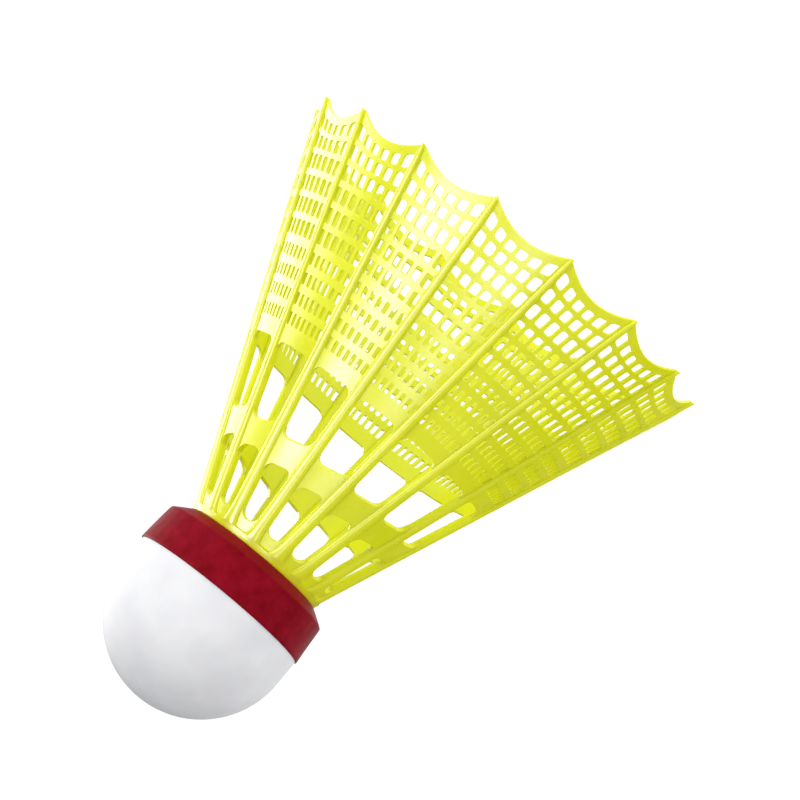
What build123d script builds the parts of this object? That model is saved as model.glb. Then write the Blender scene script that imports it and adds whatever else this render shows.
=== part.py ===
"""Badminton shuttlecock with a moulded nylon skirt, standing on its rim, base uppermost.

Millimetres. Z is the shuttle's axis and points from the skirt to the base. The stem tips
stand on Z = 0. Stem 01 points along +X, and the other stems follow every 22.5 degrees.
The skirt is one moulding in the real shuttle. It is cut here where its features meet, so
that every stem and every net panel has its own name.
"""

import os
from math import atan2, degrees, radians, sin, tan

from build123d import *

# Skirt, driving dimensions
STEMS = 16
PITCH = 360 / STEMS
TIP_R = 32.75  # circle through the outer edge of the stem tips
SEAT_R = 10.35  # outer edge of the skirt where it meets the base
SEAT_Z = 53.15  # height of the base's flat seat over the stem tips
CONE_ANGLE = degrees(atan2(TIP_R - SEAT_R, SEAT_Z))
FLANGE_T, FLANGE_ROUND = 0.9, 0.2
STEM_W = (0.95, 1.9)  # width at the tip, width at the flange
STEM_D = (0.95, 1.75)  # radial depth at the tip, at the flange
STEM_ROUND, TIP_CHAMFER = 0.25, 0.22
WALL_INSET = 0.45  # how far the wall lies under the stems' outer faces
WEB_T = 0.8  # radial thickness of the solid bands
NET_T = 0.4  # radial thickness of the net

# Distances down the axis from the seat to each feature of the wall
WEB_END = 2.5
BAND_START, BAND_END = 10.3, 13.9
BAND_SLANT = 12  # degrees, which gives the shuttle its spin
NET_START = 23.4
RIM_SCALLOP = 2.0  # depth of the rim's hollow between two tips

# Base, driving dimensions
DOME_R = 13.1  # over the cover
DOME_Z = SEAT_Z + 10.65
RIBBON_TOP_Z = SEAT_Z + 7.05
SHOULDER_Z = SEAT_Z + 1.55
SHOULDER_R = 12.65  # over the cover
COVER_T = 0.4
RIBBON_T = 0.2
SOCKET_R, SOCKET_DEPTH = 6.8, 9.5

# Plug that holds the skirt in the base
PLUG_R, PLUG_BORE, PLUG_LENGTH = 6.5, 5.5, 9.0
BARB_R, BARB_LENGTH = 6.7, 1.2
BARBS = (2.0, 4.5, 7.0)  # heights over the seat


def skirt_r(z):
    """Radius of the cone that the stems' outer faces lie on."""
    return TIP_R + (SEAT_R - TIP_R) * z / SEAT_Z


def wall_ring(z_low, z_high, thickness):
    """Closed cone wall between two heights, lying just under the stems' outer faces."""
    with BuildPart() as ring:
        with BuildSketch(Plane.XZ):
            with BuildLine():
                Polyline(
                    (skirt_r(z_low) - WALL_INSET, z_low),
                    (skirt_r(z_high) - WALL_INSET, z_high),
                    (skirt_r(z_high) - WALL_INSET - thickness, z_high),
                    (skirt_r(z_low) - WALL_INSET - thickness, z_low),
                    close=True,
                )
            make_face()
        revolve(axis=Axis.Z)
    return ring.part


def around(tool):
    """Sixteen copies of a tool, one between each pair of stems."""
    with BuildPart() as copies:
        with PolarLocations(0, STEMS, start_angle=PITCH / 2):
            add(tool)
    return copies.part


def by_angle(solid):
    """Angle of a solid's centre round the axis, from 0 to 360 degrees."""
    centre = solid.center()
    return Vector(1, 0, 0).get_signed_angle(Vector(centre.X, centre.Y, 0)) % 360


def write(part, name):
    part.label = name
    export_step(part, f"parts/{name}.step")


# Base

with BuildSketch(Plane.XZ) as cork_section:
    with BuildLine():
        dome_r = DOME_R - COVER_T
        Line((0, SEAT_Z), (0, DOME_Z + dome_r))
        RadiusArc((0, DOME_Z + dome_r), (dome_r, DOME_Z), dome_r)
        Line((dome_r, DOME_Z), (dome_r, RIBBON_TOP_Z))
        Line((dome_r, RIBBON_TOP_Z), (SHOULDER_R - COVER_T, SHOULDER_Z + COVER_T))
        Line((SHOULDER_R - COVER_T, SHOULDER_Z + COVER_T), (SEAT_R, SEAT_Z))
        Line((SEAT_R, SEAT_Z), (0, SEAT_Z))
    make_face()

with BuildSketch(Plane.XZ) as keep_section:
    with Locations((0, SEAT_Z)):
        Rectangle(3 * DOME_R, 3 * DOME_R, align=(Align.MIN, Align.MIN))

with BuildPart() as cork_core:
    add(cork_section.sketch)
    revolve(axis=Axis.Z)
    with Locations((0, 0, SEAT_Z)):
        Cylinder(
            SOCKET_R,
            SOCKET_DEPTH,
            align=(Align.CENTER, Align.CENTER, Align.MIN),
            mode=Mode.SUBTRACT,
        )

with BuildPart() as base_cover:
    with BuildSketch(Plane.XZ):
        add(cork_section.sketch)
        offset(amount=COVER_T, kind=Kind.INTERSECTION)
        add(keep_section.sketch, mode=Mode.INTERSECT)
        add(cork_section.sketch, mode=Mode.SUBTRACT)
    revolve(axis=Axis.Z)

with BuildPart() as ribbon:
    with BuildSketch(Plane.XZ):
        add(cork_section.sketch)
        offset(amount=COVER_T + RIBBON_T, kind=Kind.INTERSECTION)
        add(keep_section.sketch, mode=Mode.INTERSECT)
        with Locations((0, RIBBON_TOP_Z)):
            Rectangle(
                3 * DOME_R,
                3 * DOME_R,
                align=(Align.MIN, Align.MIN),
                mode=Mode.SUBTRACT,
            )
        add(cork_section.sketch, mode=Mode.SUBTRACT)
    revolve(axis=Axis.Z)
    add(base_cover.part, mode=Mode.SUBTRACT)

# Seat flange, plug and adhesive

with BuildPart() as seat_flange:
    with BuildSketch(Plane.XY.offset(SEAT_Z - FLANGE_T)):
        Circle(skirt_r(SEAT_Z - FLANGE_T))
    extrude(amount=FLANGE_T, taper=CONE_ANGLE)
    fillet(seat_flange.edges().sort_by(Axis.Z)[-1], FLANGE_ROUND)
    with Locations((0, 0, SEAT_Z - FLANGE_T / 2)):
        Cylinder(PLUG_BORE, FLANGE_T, mode=Mode.SUBTRACT)

with BuildPart() as skirt_plug:
    with BuildSketch(Plane.XY.offset(SEAT_Z)):
        Circle(PLUG_R)
    extrude(amount=PLUG_LENGTH)
    for height in BARBS:
        with BuildSketch(Plane.XY.offset(SEAT_Z + height)):
            Circle(BARB_R)
        extrude(amount=BARB_LENGTH, taper=9)
    with Locations((0, 0, SEAT_Z + PLUG_LENGTH / 2)):
        Cylinder(PLUG_BORE, PLUG_LENGTH, mode=Mode.SUBTRACT)

with BuildPart() as adhesive:
    with BuildSketch(Plane.XY.offset(SEAT_Z)):
        Circle(SOCKET_R)
    extrude(amount=SOCKET_DEPTH)
    add(skirt_plug.part, mode=Mode.SUBTRACT)
    with Locations((0, 0, SEAT_Z + SOCKET_DEPTH / 2)):
        Cylinder(PLUG_BORE, SOCKET_DEPTH, mode=Mode.SUBTRACT)

# Stems

with BuildPart() as stem:
    for z, width, depth in zip((0, SEAT_Z - FLANGE_T), STEM_W, STEM_D):
        with BuildSketch(Plane.XY.offset(z)):
            with Locations((skirt_r(z) - depth / 2, 0)):
                Rectangle(depth, width)
    loft(ruled=True)
    long_edges = stem.edges().filter_by(lambda edge: edge.length > SEAT_Z / 2)
    fillet(long_edges.sort_by(Axis.X)[-2:], STEM_ROUND)
    tip_edges = stem.faces().sort_by(Axis.Z)[0].edges().filter_by(Axis.X)
    chamfer(tip_edges, TIP_CHAMFER)

with BuildPart() as stem_ring:
    with PolarLocations(0, STEMS):
        add(stem.part)

# Wall between the stems

with BuildPart() as root_web:
    add(wall_ring(SEAT_Z - WEB_END, SEAT_Z - FLANGE_T, WEB_T))
    add(stem_ring.part, mode=Mode.SUBTRACT)

with BuildPart() as slant_tool:
    half_width = skirt_r(SEAT_Z - BAND_END) * sin(radians(PITCH / 2))
    rise = half_width * tan(radians(BAND_SLANT))
    with BuildSketch(Plane.YZ):
        with BuildLine():
            Polyline(
                (-half_width, SEAT_Z - BAND_START - rise),
                (half_width, SEAT_Z - BAND_START + rise),
                (half_width, SEAT_Z - BAND_END + rise),
                (-half_width, SEAT_Z - BAND_END - rise),
                close=True,
            )
        make_face()
    extrude(amount=TIP_R)

with BuildPart() as mid_band:
    add(wall_ring(SEAT_Z - BAND_END - 2, SEAT_Z - BAND_START + 2, WEB_T))
    add(stem_ring.part, mode=Mode.SUBTRACT)
    add(around(slant_tool.part), mode=Mode.INTERSECT)

with BuildPart() as scallop_tool:
    half_pitch = TIP_R * sin(radians(PITCH / 2))
    with BuildSketch(Plane.YZ):
        with BuildLine():
            ThreePointArc((-half_pitch, 0), (0, RIM_SCALLOP), (half_pitch, 0))
            Line((half_pitch, 0), (-half_pitch, 0))
        make_face()
    extrude(amount=2 * TIP_R)

with BuildPart() as net_ring:
    add(wall_ring(0, SEAT_Z - NET_START, NET_T))
    add(stem_ring.part, mode=Mode.SUBTRACT)
    add(around(scallop_tool.part), mode=Mode.SUBTRACT)

# Write each piece

os.makedirs("parts", exist_ok=True)

write(cork_core.part, "cork_core")
write(base_cover.part, "base_cover")
write(ribbon.part, "ribbon")
write(adhesive.part, "adhesive")
write(skirt_plug.part, "skirt_plug")
write(seat_flange.part, "seat_flange")
write(root_web.part, "root_web")
write(mid_band.part, "mid_band")

for number in range(STEMS):
    write(stem.part.rotate(Axis.Z, PITCH * number), f"stem_{number + 1:02d}")

for number, panel in enumerate(sorted(net_ring.solids(), key=by_angle)):
    write(panel, f"net_panel_{number + 1:02d}")
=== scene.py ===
# %% [markdown]
# # A badminton shuttlecock with a moulded skirt
#
# A practice shuttlecock has two halves. The base is a ball of cork with a white coated cover and
# a coloured ribbon round its shoulder. The skirt is one nylon moulding: sixteen tapering stems,
# two rows of windows, and a fine net that ends in a scalloped rim.
#
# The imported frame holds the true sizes. This lesson builds the finished surfaces on it.

# %% Load the frame
from math import cos, exp, pi, radians, sin, sqrt, tau

import bmesh
import bpy
from mathutils import Matrix, Vector


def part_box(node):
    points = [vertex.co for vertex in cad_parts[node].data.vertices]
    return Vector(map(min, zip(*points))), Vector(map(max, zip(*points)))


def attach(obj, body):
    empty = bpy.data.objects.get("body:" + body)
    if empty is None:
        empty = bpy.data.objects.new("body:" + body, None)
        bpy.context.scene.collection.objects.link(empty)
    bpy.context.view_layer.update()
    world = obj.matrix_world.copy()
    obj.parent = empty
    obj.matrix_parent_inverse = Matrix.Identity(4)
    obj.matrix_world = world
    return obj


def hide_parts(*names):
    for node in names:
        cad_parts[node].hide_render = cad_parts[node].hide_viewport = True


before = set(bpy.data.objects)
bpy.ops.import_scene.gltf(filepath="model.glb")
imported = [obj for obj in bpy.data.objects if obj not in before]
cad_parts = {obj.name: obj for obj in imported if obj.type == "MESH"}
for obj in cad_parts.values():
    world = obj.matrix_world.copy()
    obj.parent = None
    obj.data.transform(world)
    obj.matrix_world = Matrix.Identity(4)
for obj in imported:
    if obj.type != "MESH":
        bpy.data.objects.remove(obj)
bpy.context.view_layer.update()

# %% [markdown]
# ## Sizes
#
# Blender works in metres here, and the frame is in metres too, so every main size is read from
# the box of a frame node. Only what a box can't tell, such as a hole's width, is written down.
#
# The skirt is a cone. Three short functions say how wide it is, and how wide and deep a stem is,
# at any height. Everything on the skirt asks them, so its pieces can't drift apart.

# %% Sizes of the skirt
MM = 0.001
STEMS = 16
PITCH = tau / STEMS

stem_low, stem_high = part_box("stem_01")
flange_low, flange_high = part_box("seat_flange")
tip_radius = stem_high.x
root_radius = flange_high.x
root_z = stem_high.z
tip_width, root_width = 0.95 * MM, 2 * stem_high.y
tip_depth, root_depth = 0.95 * MM, root_radius - stem_low.x

print(f"tip circle {2 * tip_radius / MM:.1f} mm, skirt {root_z / MM:.1f} mm high")


def skirt_radius(z):
    """Radius of the cone that the stems' outer faces lie on."""
    return tip_radius + (root_radius - tip_radius) * z / root_z


def stem_width(z):
    return tip_width + (root_width - tip_width) * z / root_z


def stem_depth(z):
    return tip_depth + (root_depth - tip_depth) * z / root_z


# %% Sizes of the base
cover_low, cover_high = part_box("base_cover")
ribbon_low, ribbon_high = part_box("ribbon")
COVER_THICKNESS, RIBBON_THICKNESS = 0.4 * MM, 0.2 * MM
SHOULDER_HEIGHT = 1.55 * MM

dome_radius = cover_high.x
dome_z = cover_high.z - dome_radius
seat_z = cover_low.z
seat_radius = skirt_radius(seat_z)
shoulder_z = seat_z + SHOULDER_HEIGHT
shoulder_radius = 12.65 * MM

print(f"base {2 * dome_radius / MM:.1f} mm over the cover, seat at {seat_z / MM:.1f} mm")

# %% [markdown]
# ## Small helpers
#
# Every piece ends the same way: its bmesh becomes a mesh, its modifiers are applied, edges
# sharper than a limit are kept crisp, and it is tied to the frame's only body. A piece that
# repeats is made once and copied. The turn goes into the copy's mesh, not into its object, so
# that every object stays at the origin and the patterns of the finishes stay in place.

# %% Turn a bmesh into a finished piece
def finish_mesh(bm, name, material, modifiers=(), crisp=35):
    """A mesh object made from bm, with its modifiers applied and its shading set."""
    mesh = bpy.data.meshes.new(name)
    bm.to_mesh(mesh)
    bm.free()
    piece = bpy.data.objects.new(name, mesh)
    bpy.context.scene.collection.objects.link(piece)
    for kind, settings in modifiers:
        modifier = piece.modifiers.new(kind.title(), kind)
        for key, value in settings.items():
            setattr(modifier, key, value)
    if modifiers:
        depsgraph = bpy.context.evaluated_depsgraph_get()
        mesh = bpy.data.meshes.new_from_object(piece.evaluated_get(depsgraph))
        piece.modifiers.clear()
        piece.data = mesh
    mesh.name = name
    mesh.shade_smooth()
    mesh.set_sharp_from_angle(angle=radians(crisp))
    mesh.materials.clear()
    mesh.materials.append(material)
    return piece


# %% Place a piece on the frame, and copy it round the axis
def belongs(piece, slot, *nodes):
    """Tie a piece to the frame, and hide the frame nodes that it stands for."""
    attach(piece, "root")
    if nodes:
        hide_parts(*nodes)
    return piece


def turned_copy(piece, name, angle):
    """The same piece again, turned round the shuttle's axis, with its place in its mesh."""
    mesh = piece.data.copy()
    mesh.transform(Matrix.Rotation(angle, 4, "Z"))
    mesh.name = name
    copy = bpy.data.objects.new(name, mesh)
    bpy.context.scene.collection.objects.link(copy)
    return copy


# %% [markdown]
# ## Finishes
#
# A painted image would need every piece unwrapped. These finishes are noise on Object
# coordinates instead, so their grain keeps its real size on every piece and runs on from one
# piece to the next. Values that don't change over the surface sit on the shader's own sockets.

# %% A helper for node trees
def new_finish(name):
    """A material with its shader, Object coordinates, and a function that adds nodes."""
    material = bpy.data.materials.new(name)
    material.use_nodes = True
    tree = material.node_tree
    shader = tree.nodes["Principled BSDF"]
    place = tree.nodes.new("ShaderNodeTexCoord")

    def node(kind, inputs=None, **settings):
        made = tree.nodes.new("ShaderNode" + kind)
        for key, value in settings.items():
            setattr(made, key, value)
        for socket, value in (inputs or {}).items():
            if isinstance(value, bpy.types.NodeSocket):
                tree.links.new(value, made.inputs[socket])
            else:
                made.inputs[socket].default_value = value
        return made

    return material, tree, shader, place.outputs["Object"], node


# %% Patterns that the finishes share
BLEND_START, BLEND_END = 0.3, 0.7  # noise stays mostly between these values


def noise(node, place, scale, detail=3.0, roughness=0.5):
    inputs = {"Vector": place, "Scale": scale, "Detail": detail, "Roughness": roughness}
    return node("TexNoise", inputs).outputs["Fac"]


def blend_colours(node, factor, low, high):
    """Two colours mixed by a grey pattern."""
    ramp = node("ValToRGB", {"Fac": factor})
    ramp.color_ramp.elements[0].color = (*low, 1)
    ramp.color_ramp.elements[1].color = (*high, 1)
    ramp.color_ramp.elements[0].position = BLEND_START
    ramp.color_ramp.elements[1].position = BLEND_END
    return ramp.outputs["Color"]


def blend_values(node, factor, low, high):
    """Two values mixed by a grey pattern."""
    inputs = {"Value": factor, "From Min": BLEND_START, "From Max": BLEND_END}
    inputs.update({"To Min": low, "To Max": high})
    return node("MapRange", inputs).outputs["Result"]


# %% [markdown]
# ### Nylon
#
# The skirt is translucent fluorescent nylon. Light enters the thin net and leaves it yellower.
# A Translucent shader would let the light straight through, but in solid stems it spreads
# sideways too, so the shader gets subsurface scattering. Moulded nylon is never quite even: slow
# noise moves its colour a little, and fine noise gives it the faint orange-peel of a mould.

# %% The nylon finish
def nylon_finish():
    material, tree, shader, place, node = new_finish("fluorescent_nylon")
    flow = noise(node, place, 120, detail=4)
    peel = noise(node, place, 2600, detail=2)
    colour = blend_colours(node, flow, (0.76, 0.80, 0.0), (0.85, 0.87, 0.0))
    tree.links.new(colour, shader.inputs["Base Color"])
    tree.links.new(blend_values(node, flow, 0.24, 0.34), shader.inputs["Roughness"])
    bump = node("Bump", {"Height": peel, "Strength": 0.12, "Distance": 0.05 * MM})
    tree.links.new(bump.outputs["Normal"], shader.inputs["Normal"])
    shader.inputs["Subsurface Weight"].default_value = 0.45
    shader.inputs["Subsurface Radius"].default_value = (1.0, 1.0, 0.15)
    shader.inputs["Subsurface Scale"].default_value = 0.9 * MM
    shader.inputs["IOR"].default_value = 1.53
    shader.inputs["Specular IOR Level"].default_value = 0.5
    return material


nylon = nylon_finish()
print("finish", nylon.name)

# %% [markdown]
# ### The cover's white leather
#
# The cover is polyurethane leather: almost smooth, with fine pores. The pores are the borders
# between Voronoi cells, far too small to model, so they are a bump. A second, slower bump lets
# the skin swell a little over the cork's grain.

# %% The cover's finish
def cover_finish():
    material, tree, shader, place, node = new_finish("white_cover")
    cell_settings = {"Vector": place, "Scale": 2600.0}
    cells = node("TexVoronoi", cell_settings, feature="DISTANCE_TO_EDGE")
    slow = noise(node, place, 220, detail=2)
    tone = blend_colours(node, slow, (0.80, 0.80, 0.83), (0.86, 0.86, 0.88))
    tree.links.new(tone, shader.inputs["Base Color"])
    tree.links.new(blend_values(node, slow, 0.52, 0.62), shader.inputs["Roughness"])
    shader.inputs["Specular IOR Level"].default_value = 0.12
    pore_settings = {"Height": cells.outputs["Distance"], "Strength": 0.30, "Distance": 0.04 * MM}
    pores = node("Bump", pore_settings)
    soft_settings = {"Height": slow, "Strength": 0.12, "Distance": 0.4 * MM}
    soft = node("Bump", {**soft_settings, "Normal": pores.outputs["Normal"]})
    tree.links.new(soft.outputs["Normal"], shader.inputs["Normal"])
    shader.inputs["Subsurface Weight"].default_value = 0.1
    shader.inputs["Subsurface Scale"].default_value = 0.6 * MM
    return material


cover_leather = cover_finish()
print("finish", cover_leather.name)

# %% [markdown]
# ### The ribbon's red tape
#
# The ribbon is a coated cloth tape in deep red. Its coat is nearly dull, so its mirror-like part
# is set very low, and the faint weave under the coat breaks up what is left of it.

# %% The ribbon's finish
def ribbon_finish():
    material, tree, shader, place, node = new_finish("red_ribbon")
    cloud = noise(node, place, 420, detail=5, roughness=0.65)
    fine = noise(node, place, 3200, detail=3)
    tone = blend_colours(node, cloud, (0.185, 0.0006, 0.006), (0.285, 0.004, 0.016))
    tree.links.new(tone, shader.inputs["Base Color"])
    tree.links.new(blend_values(node, fine, 0.38, 0.50), shader.inputs["Roughness"])
    weave = node("Bump", {"Height": fine, "Strength": 0.4, "Distance": 0.05 * MM})
    tree.links.new(weave.outputs["Normal"], shader.inputs["Normal"])
    shader.inputs["Specular IOR Level"].default_value = 0.03
    return material


ribbon_tape = ribbon_finish()
print("finish", ribbon_tape.name)

# %% [markdown]
# ### Cork and glue
#
# Cork shows only up inside the plug. It is pressed from grains, which Voronoi cells draw well,
# and their distance gives both the colour and the relief. The glue is a dull, cloudy cream.

# %% The cork and glue finishes
def cork_finish():
    material, tree, shader, place, node = new_finish("pressed_cork")
    grains = node("TexVoronoi", {"Vector": place, "Scale": 1500.0}).outputs["Distance"]
    tone = blend_colours(node, grains, (0.46, 0.29, 0.15), (0.62, 0.43, 0.25))
    tree.links.new(tone, shader.inputs["Base Color"])
    bump = node("Bump", {"Height": grains, "Strength": 0.5, "Distance": 0.2 * MM})
    tree.links.new(bump.outputs["Normal"], shader.inputs["Normal"])
    shader.inputs["Roughness"].default_value = 0.85
    return material


def glue_finish():
    material, tree, shader, place, node = new_finish("dried_glue")
    cloud = noise(node, place, 400)
    tone = blend_colours(node, cloud, (0.66, 0.62, 0.48), (0.78, 0.75, 0.62))
    tree.links.new(tone, shader.inputs["Base Color"])
    shader.inputs["Roughness"].default_value = 0.5
    return material


cork = cork_finish()
glue = glue_finish()
print("finishes", cork.name, glue.name)

# %% [markdown]
# ### The frame's own nodes
#
# The flange, the plug, the cork and the glue have their final shape in the frame, because they
# are plain turned pieces that are mostly hidden. They stay, and only get a finish.

# %% Give the frame's own nodes their finishes
for names, material in (
    (("seat_flange", "skirt_plug"), nylon),
    (("cork_core",), cork),
    (("adhesive",), glue),
):
    for name in names:
        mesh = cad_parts[name].data
        mesh.materials.clear()
        mesh.materials.append(material)
        print(name, "is", material.name)

# %% [markdown]
# ## The stems
#
# A stem is a long bar that tapers from the flange to the rim, with a rounded section. A curve
# with a bevel object could taper too, but only by the same share in width and in depth. So one
# ring of vertices is extruded from station to station instead, and at each station it takes the
# width and depth that the stem has there. Near the flange the stem flares, because a mould has
# no sharp inner corners, and at the rim it narrows to a blunt point.

# %% The section of a stem at any height
SECTION = 20
SECTION_POWER = 2.3  # 2 is an ellipse, and a high power is a rectangle
ROOT_FLARE, ROOT_FADE = 0.5 * MM, 0.9 * MM
TIP_LENGTH, TIP_NARROWS, TIP_POWER = 2.2 * MM, 0.5, 1.6


def rounded(angle):
    """A point on a rounded square that reaches from -1 to 1."""
    x, y = cos(angle), sin(angle)
    reach = (abs(x) ** SECTION_POWER + abs(y) ** SECTION_POWER) ** (1 / SECTION_POWER)
    return x / reach, y / reach


def stem_place(corner, z):
    """Where a corner of the rounded section lies at height z, on the stem along +X."""
    flare = ROOT_FLARE * exp((z - root_z) / ROOT_FADE)
    narrow = 1 - TIP_NARROWS * max(0, 1 - z / TIP_LENGTH) ** TIP_POWER
    depth = stem_depth(z)
    across = (stem_width(z) / 2 * narrow + flare) * corner[1]
    return Vector((skirt_radius(z) - depth / 2 + depth / 2 * corner[0], across, z))


# %% Extrude the ring once
def extruded(bm, loop):
    """Extrude a closed loop of vertices, and give the new loop in the same order."""
    edges = [e for e in bm.edges if e.verts[0] in loop and e.verts[1] in loop]
    grown = bmesh.ops.extrude_edge_only(bm, edges=edges)["geom"]
    made = [v for v in grown if isinstance(v, bmesh.types.BMVert)]
    partner = {}
    for edge in bm.edges:
        for old, new in (edge.verts, reversed(edge.verts)):
            if old in loop and new in made:
                partner[old] = new
    return [partner[v] for v in loop]


# %% One stem, and its fifteen copies
STATIONS = 26
NEAR_ROOT = (0.5 * MM, 1.1 * MM)  # more stations close to the flange, measured from it
NEAR_TIP = (1.2 * MM, 0.5 * MM)  # and more of them close to the rim


def make_stem():
    bm = bmesh.new()
    corners = [rounded(tau * k / SECTION) for k in range(SECTION)]
    loop = list(bmesh.ops.create_circle(bm, segments=SECTION, radius=1)["verts"])
    heights = [root_z * (1 - step / STATIONS) for step in range(STATIONS + 1)]
    heights[1:1] = [root_z - below for below in NEAR_ROOT]
    heights[-1:-1] = NEAR_TIP
    for number, z in enumerate(heights):
        if number:
            loop = extruded(bm, loop)
        for vert, corner in zip(loop, corners):
            vert.co = stem_place(corner, z)
    bmesh.ops.holes_fill(bm, edges=bm.edges, sides=SECTION)
    bmesh.ops.recalc_face_normals(bm, faces=bm.faces)
    return finish_mesh(bm, "stem_rib_01", nylon, crisp=50)


first_stem = make_stem()
belongs(first_stem, "nylon", "stem_01")
for number in range(1, STEMS):
    stem = turned_copy(first_stem, f"stem_rib_{number + 1:02d}", PITCH * number)
    belongs(stem, "nylon", f"stem_{number + 1:02d}")
print("stems", STEMS, "faces each", len(first_stem.data.polygons))

# %% [markdown]
# ## The wall between the stems
#
# The wall is a thin cone a little below the stems' outer faces. A cone could be cut with
# Booleans, but sixteen sets of windows and a thousand holes would leave ragged shading. A flat
# grid is easy to model, so each part of the wall is drawn flat: x runs from -1 to 1 between two
# stems, and y is the height. `roll_up` bends it round the cone, and Solidify makes it thick.

# %% From the flat pattern to the cone
WALL_INSET = 0.45 * MM
TUCK = 0.2 * MM  # how far the wall runs into each stem


def gap_angle(z):
    """Half the angle from one stem to the next that the wall fills at height z."""
    clear = PITCH / 2 * skirt_radius(z) - stem_width(z) / 2 + TUCK
    return clear / skirt_radius(z)


def roll_up(bm):
    """Bend a flat pattern round the cone, between the first two stems, facing out."""
    for vert in bm.verts:
        across, z = vert.co.xy
        angle = PITCH / 2 + across * gap_angle(z)
        radius = skirt_radius(z) - WALL_INSET
        vert.co = Vector((radius * cos(angle), radius * sin(angle), z))
    bmesh.ops.recalc_face_normals(bm, faces=bm.faces)
    face = next(iter(bm.faces))
    if face.normal.dot(Vector((*face.calc_center_median().xy, 0))) < 0:
        bmesh.ops.reverse_faces(bm, faces=bm.faces)


def thickness(amount, edge):
    """Modifiers that give a rolled wall its thickness, and round its edges."""
    return (
        ("SOLIDIFY", {"thickness": amount, "offset": -1.0, "use_even_offset": True}),
        ("BEVEL", {"width": edge, "segments": 1, "limit_method": "ANGLE"}),
    )


print(f"wall fills {2 * gap_angle(0) / PITCH:.0%} of each gap at the rim")

# %% [markdown]
# ## Solid bands
#
# The web under the flange, the slanted bars and the strip at the head of the net are solid. They
# could be plain strips, but then the windows would have sharp corners, which a mould can't fill
# well. So each band is a grid with many columns whose top and bottom edges follow a curve, and
# each edge swells into the stems with a small fillet.

# %% Make a solid band
def swell(across, z, radius):
    """How far a fillet of that radius moves an edge, close to a stem."""
    side = (1 - abs(across)) * gap_angle(z) * skirt_radius(z) - TUCK
    short = min(max(radius - side, 0), radius)
    return radius - sqrt(radius ** 2 - short ** 2)


def solid_band(low, high, columns=28, rows=3):
    """A flat grid between two edges, given as functions of the place across the gap."""
    bm = bmesh.new()
    bmesh.ops.create_grid(bm, x_segments=columns, y_segments=rows, size=1)
    for vert in bm.verts:
        across, share = vert.co.x, (vert.co.y + 1) / 2
        vert.co.y = low(across) + (high(across) - low(across)) * share
    return bm


# %% The web under the flange
WEB_THICKNESS, WEB_EDGE = 0.8 * MM, 0.1 * MM
WINDOW_ROUND = 1.2 * MM

web_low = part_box("root_web")[0].z


def web_edge(across):
    return web_low - swell(across, web_low, WINDOW_ROUND)


web_pattern = solid_band(web_edge, lambda across: root_z)
roll_up(web_pattern)
web = finish_mesh(web_pattern, "web_01", nylon, thickness(WEB_THICKNESS, WEB_EDGE))
belongs(web, "nylon", "root_web")
print(f"web {(root_z - web_low) / MM:.2f} mm high at its middle")

# %% [markdown]
# The bars between the two rows of windows slant, all the same way. That is what makes a
# shuttlecock spin in flight. Their slant is worked out from the height of the frame's band.

# %% The slanted bars
BAR_HEIGHT, BAR_EDGE = 3.6 * MM, 0.12 * MM

band_low, band_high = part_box("mid_band")[0].z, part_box("mid_band")[1].z
bar_middle = (band_low + band_high) / 2
bar_rise = (band_high - band_low - BAR_HEIGHT) / 2


def bar_low(across):
    z = bar_middle - BAR_HEIGHT / 2 + bar_rise * across
    return z - swell(across, z, WINDOW_ROUND)


def bar_high(across):
    z = bar_middle + BAR_HEIGHT / 2 + bar_rise * across
    return z + swell(across, z, WINDOW_ROUND)


bar_pattern = solid_band(bar_low, bar_high)
roll_up(bar_pattern)
bar = finish_mesh(bar_pattern, "slanted_bar_01", nylon, thickness(WEB_THICKNESS, BAR_EDGE))
belongs(bar, "nylon", "mid_band")
print(f"bars rise {2 * bar_rise / MM:.2f} mm across a gap")

# %% Copy the web and the bar round the skirt
for number in range(1, STEMS):
    belongs(turned_copy(web, f"web_{number + 1:02d}", PITCH * number), "nylon", "root_web")
    bar_name = f"slanted_bar_{number + 1:02d}"
    belongs(turned_copy(bar, bar_name, PITCH * number), "nylon", "mid_band")
print("webs and bars", STEMS, "of each")

# %% [markdown]
# ## The net
#
# Each panel of the net has rows of narrow holes near the windows and rows of larger holes near
# the rim. A picture with clear spots would look the same from afar, but it leaves no holes in
# the mesh. So a grid gets one face for each hole. Every face gets an inner face by inset, which
# is scaled to the hole's share of its cell, and a vertex bevel rounds its corners. Deleting the
# inner face leaves the hole. Near the rim the rows bend to follow the scallops.

# %% The net's zones, and the scallops of its rim
NET_THICKNESS, NET_EDGE = 0.42 * MM, 0.06 * MM
STRIP, FINE_FIELD, BORDER = 1.6 * MM, 10.4 * MM, 0.95 * MM
SCALLOP, SCALLOP_REACH, SCALLOP_POWER = 1.85 * MM, 7.0 * MM, 1.5

net_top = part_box("net_panel_01")[1].z
strip_z = net_top - STRIP
change_z = strip_z - FINE_FIELD
border_z = BORDER

print(f"net {net_top / MM:.1f} mm high, its larger holes below {change_z / MM:.1f} mm")


def scallop(across, z):
    """How far the rim's hollow lifts the wall here."""
    fade = max(0, 1 - max(0, z - border_z) / SCALLOP_REACH)
    return SCALLOP * max(0, 1 - across ** 2) * fade ** SCALLOP_POWER


# %% A grid with a hole in every cell
FIRST_INSET = 0.1  # a share of the grid, small enough for every cell


def grid_place(point):
    """A point on the flat grid, rounded so that two faces' centres can be compared."""
    return round(point.x, 4), round(point.y, 4)


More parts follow.
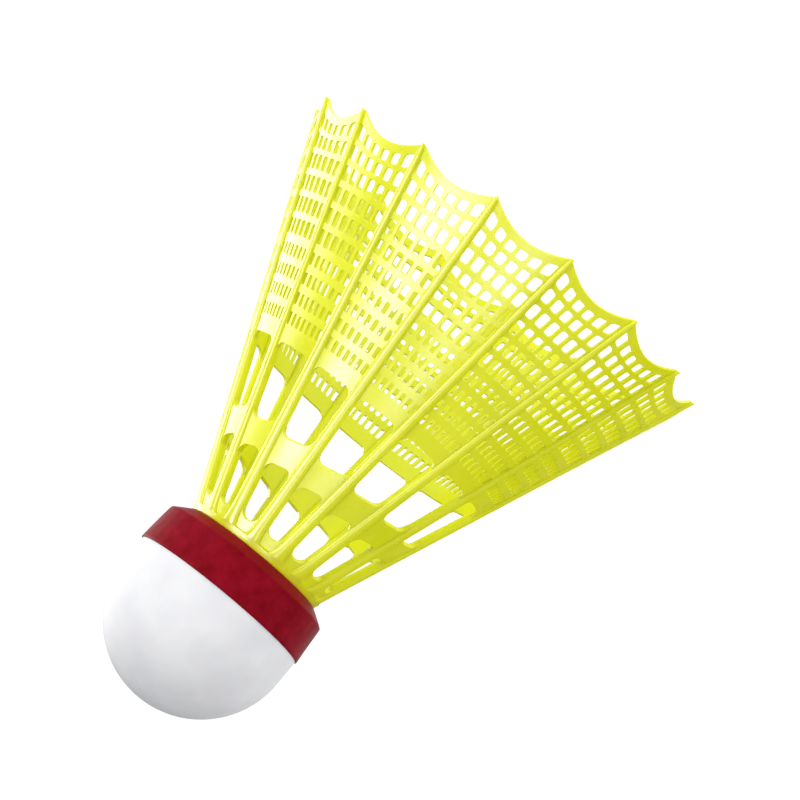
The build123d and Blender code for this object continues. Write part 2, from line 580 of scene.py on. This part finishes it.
def holed_grid(low, high, columns, rows, width, height, corner):
    """A flat grid of rounded holes. Their width, height and corner are shares of a cell."""
    bm = bmesh.new()
    bmesh.ops.create_grid(bm, x_segments=columns, y_segments=rows, size=1)
    half_hole = Vector((width / columns, height / rows, 0))
    inner = list(bm.faces)
    centres = [face.calc_center_median() for face in inner]
    bmesh.ops.inset_individual(bm, faces=inner, thickness=FIRST_INSET / max(columns, rows))
    for face, centre in zip(inner, centres):
        for vert in face.verts:
            right, up = vert.co.x > centre.x, vert.co.y > centre.y
            vert.co = centre + half_hole * Vector((1 if right else -1, 1 if up else -1, 0))
    bmesh.ops.bevel(
        bm,
        geom=list(dict.fromkeys(v for face in inner for v in face.verts)),
        offset=corner * 2 / columns,
        segments=2,
        profile=0.5,
        affect="VERTICES",
        material=-1,
        clamp_overlap=True,
    )
    wanted = {grid_place(centre) for centre in centres}
    holes = [face for face in bm.faces if grid_place(face.calc_center_median()) in wanted]
    bmesh.ops.delete(bm, geom=holes, context="FACES_ONLY")
    for vert in bm.verts:
        vert.co.y = low + (high - low) * (vert.co.y + 1) / 2
    return bm


# %% [markdown]
# A panel is four flat pieces in one mesh: the strip over the windows, the two fields of holes,
# and the border along the rim. They have different numbers of edges where they meet, so a
# narrow gap is left at each meeting, and `bridge_loops` closes it with faces.

# %% The four pieces of a panel
SEAM = 0.12 * MM  # half of the gap that is bridged
FOOT = 0.18 * MM  # the wall's thickness leans down by this much at the rim


def net_edge(across):
    return net_top + swell(across, net_top, WINDOW_ROUND)


def flat_parts():
    """The four flat pieces, from the windows down to the rim."""
    fine = {"columns": 7, "rows": 4, "width": 0.56, "height": 0.62, "corner": 0.16}
    coarse = {"columns": 6, "rows": 6, "width": 0.70, "height": 0.72, "corner": 0.14}
    return (
        solid_band(lambda across: strip_z + SEAM, net_edge),
        holed_grid(change_z + SEAM, strip_z - SEAM, **fine),
        holed_grid(border_z + SEAM, change_z - SEAM, **coarse),
        solid_band(lambda across: FOOT, lambda across: border_z - SEAM, columns=24, rows=1),
    )


def edges_at(bm, height):
    """The boundary edges that lie level at a height of the flat pattern."""
    border = [edge for edge in bm.edges if edge.is_boundary]
    return [e for e in border if all(abs(v.co.y - height) < 1e-6 for v in e.verts)]


# %% One net panel, and its fifteen copies
def make_net():
    whole = bmesh.new()
    for part in flat_parts():
        flat = bpy.data.meshes.new("flat")
        part.to_mesh(flat)
        part.free()
        whole.from_mesh(flat)
        bpy.data.meshes.remove(flat)
    for meeting in (strip_z, change_z, border_z):
        pair = edges_at(whole, meeting - SEAM) + edges_at(whole, meeting + SEAM)
        bmesh.ops.bridge_loops(whole, edges=pair)
    for vert in whole.verts:
        vert.co.y += scallop(vert.co.x, vert.co.y)
    roll_up(whole)
    print("open edges of the flat net", sum(e.is_boundary for e in whole.edges))
    return finish_mesh(whole, "net_01", nylon, thickness(NET_THICKNESS, NET_EDGE))


first_net = make_net()
belongs(first_net, "nylon", "net_panel_01")
for number in range(1, STEMS):
    net = turned_copy(first_net, f"net_{number + 1:02d}", PITCH * number)
    belongs(net, "nylon", f"net_panel_{number + 1:02d}")
print("net faces each", len(first_net.data.polygons))

# %% [markdown]
# ## The base
#
# The cover and the ribbon are turned shapes. A Screw modifier would turn them too, but here the
# ribbon is reshaped after it is turned, so each is a line of vertices that `bmesh.ops.spin`
# takes round the axis. Where the line starts on the axis, the spin leaves a stack of vertices at
# the pole, which is merged.

# %% Spin a line round the axis
COVER_STEPS, RIBBON_STEPS = 160, 240


def spun(points, closed, steps):
    """A bmesh made by spinning points (radius, height) round Z."""
    bm = bmesh.new()
    verts = [bm.verts.new((radius, 0, z)) for radius, z in points]
    ends = verts[1:] + verts[:1] if closed else verts[1:]
    edges = [bm.edges.new(pair) for pair in zip(verts, ends)]
    turn = {"cent": (0, 0, 0), "axis": (0, 0, 1), "angle": tau}
    bmesh.ops.spin(bm, geom=verts + edges, steps=steps, use_merge=True, **turn)
    bmesh.ops.remove_doubles(bm, verts=bm.verts, dist=1e-6)
    bmesh.ops.recalc_face_normals(bm, faces=bm.faces)
    return bm


def arc(centre, radius, start, end, steps):
    """Points of an arc in the (radius, height) plane."""
    turns = [start + (end - start) * k / steps for k in range(steps + 1)]
    return [(centre[0] + radius * cos(t), centre[1] + radius * sin(t)) for t in turns]


def straight(start, end, steps):
    """Points from start to end, without start itself."""
    start, end = Vector(start), Vector(end)
    return [tuple(start.lerp(end, k / steps)) for k in range(1, steps + 1)]


# %% [markdown]
# The cover is one skin: a half ball, a straight side that narrows a little, and a hem that is
# glued down under the ribbon.

# %% The cover
HEM_WIDTH, HEM_HEIGHT = 2 * MM, 0.3 * MM  # how far the hem runs in, and where it ends

dome = arc((0, dome_z), dome_radius, pi / 2, 0, 40)
dome[0] = (0, dome_z + dome_radius)
skin_line = dome + [(dome_radius, ribbon_high.z + 1.2 * MM), (dome_radius, ribbon_high.z)]
skin_line += [(shoulder_radius, shoulder_z), (shoulder_radius - HEM_WIDTH, seat_z + HEM_HEIGHT)]
inner_line = [(radius - COVER_THICKNESS, z) for radius, z in skin_line[:0:-1]]
inner_line += [(0, dome_z + dome_radius - COVER_THICKNESS)]
cover_shape = spun(skin_line + inner_line, closed=False, steps=COVER_STEPS)
cover = finish_mesh(cover_shape, "cover", cover_leather, crisp=40)
belongs(cover, "cover", "base_cover")
print("cover faces", len(cover.data.polygons))

# %% [markdown]
# The ribbon follows the side and the shoulder, and its lower edge is tucked in as far as the
# flange, so that no cork shows. Its end lies over its start at the back of the shuttle. Tape
# pulled round a corner never lies quite flat, so its surface gets a slow ripple of a few
# hundredths of a millimetre. Noise would do for that, but a few sine waves are easier to hold to
# a known height, and they close up after a full turn.

# %% How the tape strays from a true ring
RIPPLE = 0.03 * MM
RIPPLE_START = 1.5 * MM  # from the seat's edge outwards, the ripple grows over this much
LAP_START, LAP_LENGTH, LAP_STEP = radians(70), radians(20), 0.12 * MM
LAP_EDGE = radians(2)


def lap(turn):
    """Extra thickness where the tape's end lies over its start, at the back of the shuttle."""
    rise = min(1, max(0, (turn - LAP_START) / LAP_EDGE))
    fall = min(1, max(0, (LAP_START + LAP_LENGTH - turn) / LAP_EDGE))
    return LAP_STEP * min(rise, fall)


def ripple(turn, share):
    """The ripple at a turn round the axis, and at a share of the way down the band."""
    wave = sin(9 * turn + 4 * share) + 0.6 * sin(23 * turn - 7 * share) + 0.4 * sin(41 * turn)
    return RIPPLE * (0.35 + 0.65 * share) * wave


# %% The outline of the band
CORNER_ROUND = 0.45 * MM


def ribbon_outline():
    """Points (radius, height): the rounded upper edge, the side, the shoulder, and the back."""
    top, bottom = ribbon_high.z, ribbon_low.z
    line = [
        (dome_radius + 0.4 * RIBBON_THICKNESS, top),
        (dome_radius + 0.85 * RIBBON_THICKNESS, top - 0.05 * MM),
        (ribbon_high.x, top - 0.16 * MM),
    ]
    side = Vector((shoulder_radius + RIBBON_THICKNESS, shoulder_z + 0.1 * MM))
    line += straight(line[-1], side, 12)[:-1]
    line += arc((side.x - CORNER_ROUND, side.y + 0.1 * MM), CORNER_ROUND, 0, -pi / 3, 5)
    line += straight(line[-1], (seat_radius + 0.25 * MM, bottom + 0.05 * MM), 6)
    line += [(seat_radius + 0.02 * MM, bottom - 0.03 * MM)]
    line += [(seat_radius + 0.02 * MM, bottom + 0.15 * MM)]
    line += [(side.x - 0.5 * MM, side.y + 0.4 * MM), (dome_radius - 0.2 * MM, top)]
    return line


# %% The ribbon
def make_ribbon():
    bm = spun(ribbon_outline(), closed=True, steps=RIBBON_STEPS)
    height = ribbon_high.z - ribbon_low.z
    for vert in bm.verts:
        radius = vert.co.xy.length
        turn = Vector((1, 0)).angle_signed(vert.co.xy)
        share = (ribbon_high.z - vert.co.z) / height
        loose = min(1, max(0, (radius - seat_radius) / RIPPLE_START))
        vert.co.xy *= 1 + loose * (ripple(turn, share) + lap(-turn)) / radius
    return finish_mesh(bm, "ribbon_band", ribbon_tape, crisp=40)


ribbon = make_ribbon()
belongs(ribbon, "ribbon", "ribbon")
print("ribbon faces", len(ribbon.data.polygons))

# %% [markdown]
# ## The floor
#
# The shuttle stands on a plain white sheet that fills the picture. A sheet lit until it is pure
# white would need so much light that the shuttle burned out, so the sheet itself is grey and
# glows white. The slow cloud in its grey keeps the light that it throws back from being flat.

# %% The floor
FLOOR_REACH = 12.0  # half of its width, in metres


def make_floor():
    bm = bmesh.new()
    bmesh.ops.create_grid(bm, x_segments=1, y_segments=1, size=FLOOR_REACH)
    material, tree, shader, place, node = new_finish("white_floor")
    cloud = noise(node, place, 3)
    tone = blend_colours(node, cloud, (0.20, 0.20, 0.20), (0.24, 0.24, 0.24))
    tree.links.new(tone, shader.inputs["Base Color"])
    shader.inputs["Roughness"].default_value = 0.9
    shader.inputs["Specular IOR Level"].default_value = 0.0
    shader.inputs["Emission Color"].default_value = (1, 1, 1, 1)
    shader.inputs["Emission Strength"].default_value = 0.98
    floor = finish_mesh(bm, "floor", material)


make_floor()
print("floor", 2 * FLOOR_REACH, "m wide")

# %% [markdown]
# ## The surroundings
#
# What lies beyond the floor has to look white too, without flooding the shuttle with light. A
# Light Path node tells what kind of ray has arrived. So the surroundings are full white for the
# camera, half as bright as a light, and dimmer still in reflections, where they would wash out
# the red ribbon and the yellow stems.

# %% The surroundings
SKY_LIGHT = 0.5
SKY_SEEN = 0.5  # added where the camera looks straight at it
SKY_MIRRORED = -0.38  # added where a surface mirrors it

world = bpy.data.worlds.new("studio")
world.use_nodes = True
sky = world.node_tree.nodes["Background"]
sky.inputs["Color"].default_value = (1, 1, 1, 1)
ray = world.node_tree.nodes.new("ShaderNodeLightPath")
plain = world.node_tree.nodes.new("ShaderNodeValue")
plain.outputs[0].default_value = SKY_LIGHT


def with_share(strength, kind, share):
    """The strength, with a share added for one kind of ray."""
    made = world.node_tree.nodes.new("ShaderNodeMath")
    made.operation = "MULTIPLY_ADD"
    world.node_tree.links.new(ray.outputs[kind], made.inputs[0])
    made.inputs[1].default_value = share
    world.node_tree.links.new(strength, made.inputs[2])
    return made.outputs[0]


strength = with_share(plain.outputs[0], "Is Camera Ray", SKY_SEEN)
strength = with_share(strength, "Is Glossy Ray", SKY_MIRRORED)
world.node_tree.links.new(strength, sky.inputs["Strength"])
bpy.context.scene.world = world
bpy.context.scene.view_settings.view_transform = "Standard"
print("surroundings", world.name, "seen at", SKY_LIGHT + SKY_SEEN)

# %% [markdown]
# ## The camera
#
# The camera looks at the shuttle's side, a little from above, and is rolled so that the base
# points down to one corner of the picture and the skirt opens to the other. It stands well back
# with a long lens, because a near camera would swell whatever is closest to it.

# %% The camera
VIEW_TURN, VIEW_LIFT, VIEW_ROLL = radians(-99.74), radians(7.04), radians(-140.37)
VIEW_DISTANCE = 0.8
LENS = 270
pivot = Vector((0, 0, seat_z - 18 * MM))


def direction(turn, lift):
    return Vector((cos(turn) * cos(lift), sin(turn) * cos(lift), sin(lift)))


def looking(place, target, roll=0.0):
    """A matrix for a camera or a light at place that faces target."""
    turn = (target - place).to_track_quat("-Z", "Y").to_matrix().to_4x4()
    return Matrix.Translation(place) @ turn @ Matrix.Rotation(roll, 4, "Z")


aim_down, aim_aside = Vector((0, 0, 11.1 * MM)), direction(VIEW_TURN - pi / 2, 0) * 1.6 * MM
aim = pivot - aim_down + aim_aside
stand_at = pivot + direction(VIEW_TURN, VIEW_LIFT) * VIEW_DISTANCE

camera = bpy.data.objects.new("camera", bpy.data.cameras.new("camera"))
bpy.context.scene.collection.objects.link(camera)
camera.matrix_world = looking(stand_at, aim, VIEW_ROLL)
camera.data.lens = LENS
camera.data.clip_start, camera.data.clip_end = 0.01, 60
bpy.context.scene.camera = camera
print(f"camera {(stand_at - aim).length:.3f} m from what it looks at")

# %% [markdown]
# ## The lights
#
# A soft key stands to one side, almost level with the shuttle, and a weak fill faces it from the
# other side and from higher up. Spot lights would be easier to aim, but they leave hard shadows in the
# net. The other three softboxes light nothing: they only show in reflections, and leave the long
# highlights on the stems and the sheen on the ribbon that tell the eye how smooth they are.

# %% The lights
def soft_light(name, turn, lift, distance, size, power, only_gloss=False):
    """A round softbox that faces the pivot, and that the camera doesn't see."""
    light = bpy.data.lights.new(name, "AREA")
    light.shape, light.size, light.energy = "DISK", size, power
    stand = bpy.data.objects.new(name, light)
    bpy.context.scene.collection.objects.link(stand)
    stand.visible_camera = False
    stand.visible_diffuse = not only_gloss
    stand.matrix_world = looking(pivot + direction(turn, lift) * distance, pivot)
    print(name, power, "W", "in reflections only" if only_gloss else "")


soft_light("key", VIEW_TURN + radians(55), radians(8), 0.9, 0.5, 3.3)
soft_light("fill", VIEW_TURN - radians(60), radians(25), 1.0, 0.8, 0.8)
soft_light("side", VIEW_TURN + radians(128), radians(14), 1.1, 1.3, 24.0, only_gloss=True)
soft_light("glint", VIEW_TURN + radians(43), radians(37), 0.9, 0.4, 8.0, only_gloss=True)
soft_light("front", VIEW_TURN - radians(8), radians(38), 0.9, 0.35, 2.0, only_gloss=True)
